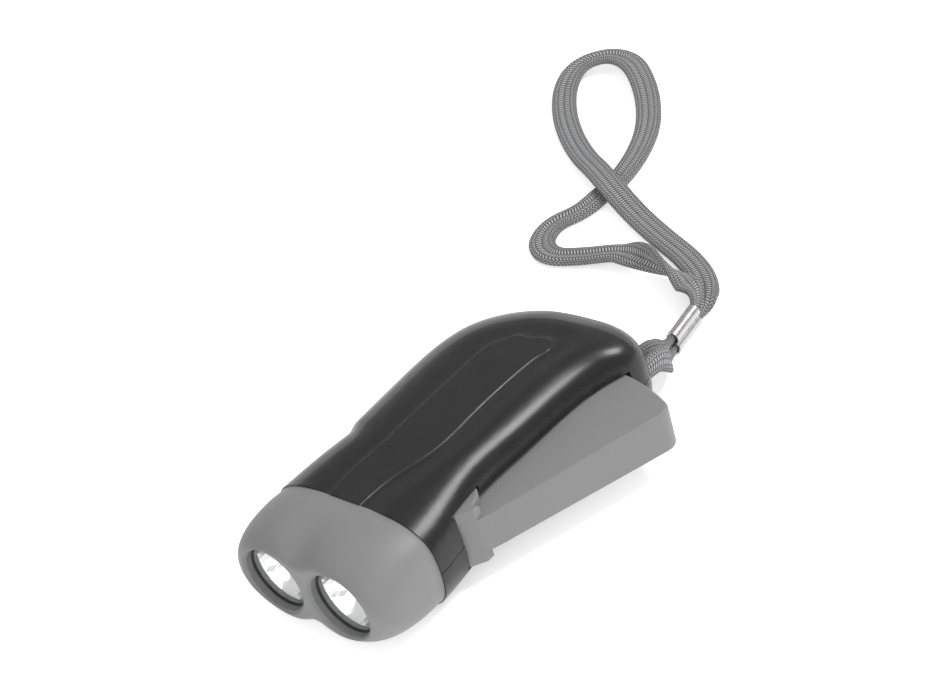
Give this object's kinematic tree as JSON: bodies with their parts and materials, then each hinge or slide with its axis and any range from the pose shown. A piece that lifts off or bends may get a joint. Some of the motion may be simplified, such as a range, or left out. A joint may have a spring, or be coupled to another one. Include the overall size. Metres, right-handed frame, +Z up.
{
  "type": "squeeze lever dynamo torch",
  "caption": "Palm-sized dynamo torch with a squeeze lever in its side, a wide grey head with recessed lamps and a flat braided wrist strap held by a crimped ferrule.",
  "frame": {"origin": "on the flat foot under the casing, on the line half way between the lamps", "axes": "-Y towards the lamps, +X towards the squeeze lever, +Z up out of the foot"},
  "size_m": [0.1443, 0.2411, 0.027],
  "materials": {
    "smoky_shell": "gloss",
    "grey_plastic": "satin",
    "clear_lens": "clear",
    "black_rubber": "matte",
    "reflector_chrome": "polished",
    "led_resin": "gloss",
    "board_laminate": "satin",
    "steel": "satin",
    "black_component": "satin",
    "white_nylon": "satin",
    "brass": "satin",
    "magnet": "matte",
    "flywheel_metal": "satin",
    "core_steel": "satin",
    "copper": "satin",
    "wire_sleeve": "satin",
    "ferrule_metal": "satin",
    "braid": "woven"
  },
  "bodies": {
    "casing": {"upper_shell": "smoky_shell", "lower_shell": "smoky_shell", "head_bezel": "grey_plastic", "lens_left": "clear_lens", "lens_right": "clear_lens", "lens_ring_left": "black_rubber", "lens_ring_right": "black_rubber", "reflector_left": "reflector_chrome", "reflector_right": "reflector_chrome", "led_left": "led_resin", "led_right": "led_resin", "lamp_board": "board_laminate", "board_screws": "steel", "rectifier_diodes": "black_component", "capacitor": "black_component", "lever_spring": "steel", "lever_pivot_pin": "steel", "gear_axles": "steel", "rotor_bushes": "brass", "stator_core": "core_steel", "coil_bobbin": "white_nylon", "coil_winding": "copper", "coil_leads": "wire_sleeve", "case_screws": "steel", "strap_bar": "steel", "strap_tether": "braid", "strap_ferrule": "ferrule_metal", "wrist_strap": "braid"},
    "lever": {"lever": "grey_plastic"},
    "drive_train": {"drive_pinion": "white_nylon", "drive_wheel": "white_nylon", "ratchet_wheel": "white_nylon", "ratchet_pawl": "white_nylon"},
    "transfer_train": {"transfer_gear": "white_nylon"},
    "rotor": {"rotor_shaft": "steel", "rotor_pinion": "brass", "rotor_magnet": "magnet", "flywheel": "flywheel_metal"}
  },
  "joints": [
    {"name": "lever_hinge", "type": "hinge", "parent": "casing", "child": "lever", "pos_m": [0.017, -0.018, 0.0131], "axis": [0, 0, 1], "range_deg": [0, 20], "stiffness_Nm_per_rad": 0.3, "springref_deg": -28.65},
    {"name": "drive_spin", "type": "hinge", "parent": "casing", "child": "drive_train", "pos_m": [-0.00569, -0.01318, 0.0131], "axis": [0, 0, 1], "range_deg": [-98, 1]},
    {"name": "transfer_spin", "type": "hinge", "parent": "casing", "child": "transfer_train", "pos_m": [-0.01209, -0.00163, 0.0131], "axis": [0, 0, 1], "range_deg": [-1, 330]},
    {"name": "rotor_spin", "type": "hinge", "parent": "casing", "child": "rotor", "pos_m": [-0.00578, 0.00738, 0.0131], "axis": [0, 0, 1], "range_deg": [-1115, 1]}
  ],
  "couplings": [
    {"joint": "drive_spin", "follows": "lever_hinge", "ratio": -4.8},
    {"joint": "transfer_spin", "follows": "lever_hinge", "ratio": 16.32},
    {"joint": "rotor_spin", "follows": "lever_hinge", "ratio": -55.488}
  ]
}
